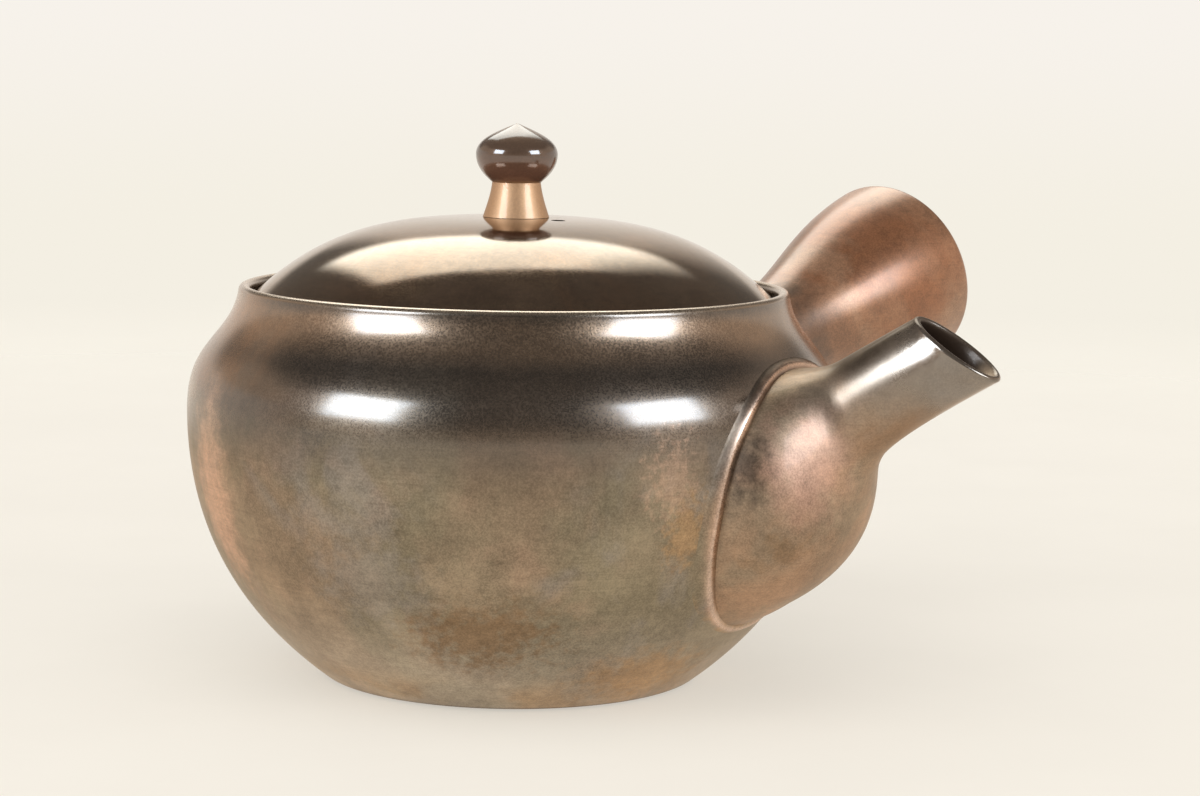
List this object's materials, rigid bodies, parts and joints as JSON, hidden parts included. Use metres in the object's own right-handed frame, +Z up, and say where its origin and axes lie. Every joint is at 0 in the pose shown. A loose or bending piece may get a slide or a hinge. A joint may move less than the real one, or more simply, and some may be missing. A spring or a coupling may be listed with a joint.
{
  "type": "side-handled teapot",
  "caption": "Side-handled ceramic teapot with a lift-off domed lid, a lofted spout with a half-ball sieve behind it and a hollow trumpet handle.",
  "frame": {"origin": "centre of the foot, on the surface that the pot stands on", "axes": "+Z up along the pot's turning axis, +X along the spout, and the handle 77 degrees round from +X towards +Y"},
  "size_m": [0.1418, 0.1683, 0.0931],
  "materials": {
    "pot_glaze": "dark bronze lustre glaze, satin with a fine mottle",
    "spout_glaze": "bronze to gunmetal lustre glaze, satin to glossy",
    "sieve_clay": "thinly glazed clay, satin",
    "handle_glaze": "copper-brown lustre glaze, satin",
    "lid_glaze": "dark bronze lustre glaze, glossy",
    "knob_glaze": "dark brown lustre glaze, glossy, golden on the stem"
  },
  "bodies": {
    "pot": {"body": "pot_glaze", "spout": "spout_glaze", "spout_coil": "spout_glaze", "strainer": "sieve_clay", "handle": "handle_glaze", "handle_coil": "handle_glaze"},
    "cover": {"lid": "lid_glaze", "knob": "knob_glaze"}
  },
  "joints": [
    {"name": "lid_lift", "type": "slide", "parent": "pot", "child": "cover", "axis": [0, 0, 1], "range_m": [0, 0.06]}
  ]
}
